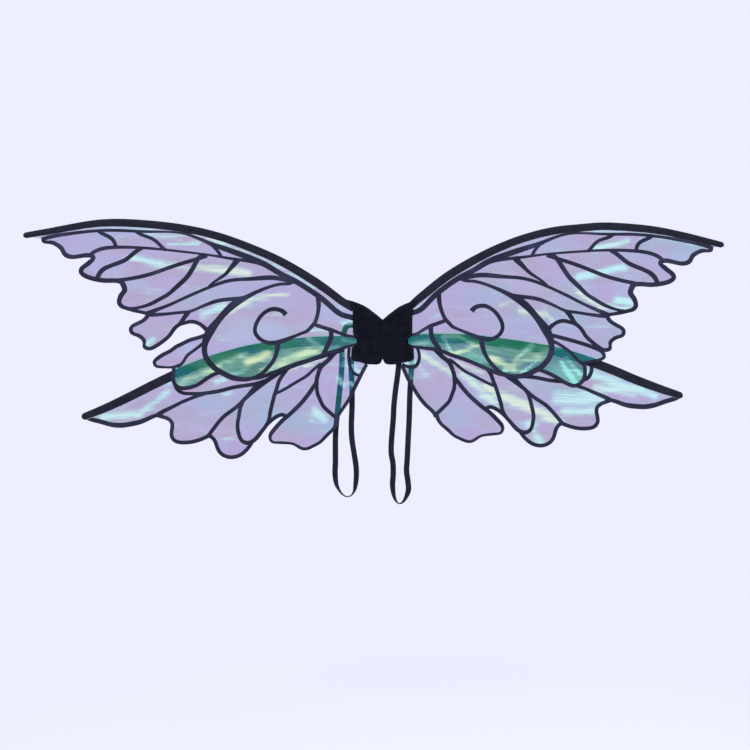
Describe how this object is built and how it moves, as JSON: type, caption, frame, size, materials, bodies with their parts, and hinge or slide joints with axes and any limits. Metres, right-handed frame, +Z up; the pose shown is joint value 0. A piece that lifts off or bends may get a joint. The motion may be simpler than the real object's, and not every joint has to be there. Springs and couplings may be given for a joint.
{
  "type": "fairy wings",
  "caption": "Adult costume wings: iridescent film wings with dark printed veins and black wire sleeves, a felt butterfly patch and elastic arm loops.",
  "frame": {"origin": "centre of the patch on its wearer-side face", "axes": "+Z up as worn, +X towards the wings on an onlooker's right, -Y towards the onlooker, +Y towards the wearer"},
  "size_m": [1.0527, 0.0126, 0.4291],
  "materials": {
    "wire": "drawn steel",
    "sleeve_fabric": "black woven tape",
    "iridescent_film": "clear, iridescent, slightly wrinkled",
    "printed_veins": "dark navy ink",
    "felt": "black felt",
    "foam": "black foam strip",
    "stiffener": "black card-like plastic",
    "rivet": "plain",
    "elastic": "flat black elastic"
  },
  "bodies": {
    "centre": {"outer_patch_centre": "felt", "lining_centre": "felt", "spine_centre": "foam"},
    "left_half": {"outer_patch_left": "felt", "lining_left": "felt", "stiffener_left": "stiffener", "upper_rivet_left": "rivet", "lower_rivet_left": "rivet", "left_strap_end_side": "elastic", "left_strap_end_bottom": "elastic"},
    "right_half": {"outer_patch_right": "felt", "lining_right": "felt", "stiffener_right": "stiffener", "upper_rivet_right": "rivet", "lower_rivet_right": "rivet", "right_strap_end_inner": "elastic", "right_strap_end_outer": "elastic"},
    "upper_left_wing": {"upper_left_wire": "wire", "upper_left_sleeve": "sleeve_fabric", "upper_left_film": "iridescent_film", "upper_left_veins": "printed_veins"},
    "upper_right_wing": {"upper_right_wire": "wire", "upper_right_sleeve": "sleeve_fabric", "upper_right_film": "iridescent_film", "upper_right_veins": "printed_veins"},
    "lower_left_wing": {"lower_left_wire": "wire", "lower_left_sleeve": "sleeve_fabric", "lower_left_film": "iridescent_film", "lower_left_veins": "printed_veins"},
    "lower_right_wing": {"lower_right_wire": "wire", "lower_right_sleeve": "sleeve_fabric", "lower_right_film": "iridescent_film", "lower_right_veins": "printed_veins"},
    "left_strap": {"left_strap": "elastic"},
    "right_strap": {"right_strap": "elastic"}
  },
  "joints": [
    {"name": "left_fold", "type": "hinge", "parent": "centre", "child": "left_half", "pos_m": [-0.005, -0.0126, 0], "axis": [0, 0, 1], "range_deg": [0, 88]},
    {"name": "upper_left_swing", "type": "hinge", "parent": "left_half", "child": "upper_left_wing", "pos_m": [-0.03, -0.009, 0.028], "axis": [0, 1, 0], "range_deg": [-10, 12]},
    {"name": "lower_left_swing", "type": "hinge", "parent": "left_half", "child": "lower_left_wing", "pos_m": [-0.02, -0.0048, -0.015], "axis": [0, 1, 0], "range_deg": [-8, 10]},
    {"name": "right_fold", "type": "hinge", "parent": "centre", "child": "right_half", "pos_m": [0.005, -0.0126, 0], "axis": [0, 0, -1], "range_deg": [0, 88]},
    {"name": "upper_right_swing", "type": "hinge", "parent": "right_half", "child": "upper_right_wing", "pos_m": [0.03, -0.009, 0.028], "axis": [0, -1, 0], "range_deg": [-10, 12]},
    {"name": "lower_right_swing", "type": "hinge", "parent": "right_half", "child": "lower_right_wing", "pos_m": [0.02, -0.0048, -0.015], "axis": [0, -1, 0], "range_deg": [-8, 10]},
    {"name": "left_strap_swing", "type": "hinge", "parent": "left_half", "child": "left_strap", "pos_m": [-0.0435, -0.0021, -0.02], "axis": [0, 0, -1], "range_deg": [0, 90]},
    {"name": "right_strap_swing", "type": "hinge", "parent": "right_half", "child": "right_strap", "pos_m": [0.034, -0.0021, -0.0499], "axis": [1, 0, 0], "range_deg": [0, 90]}
  ]
}
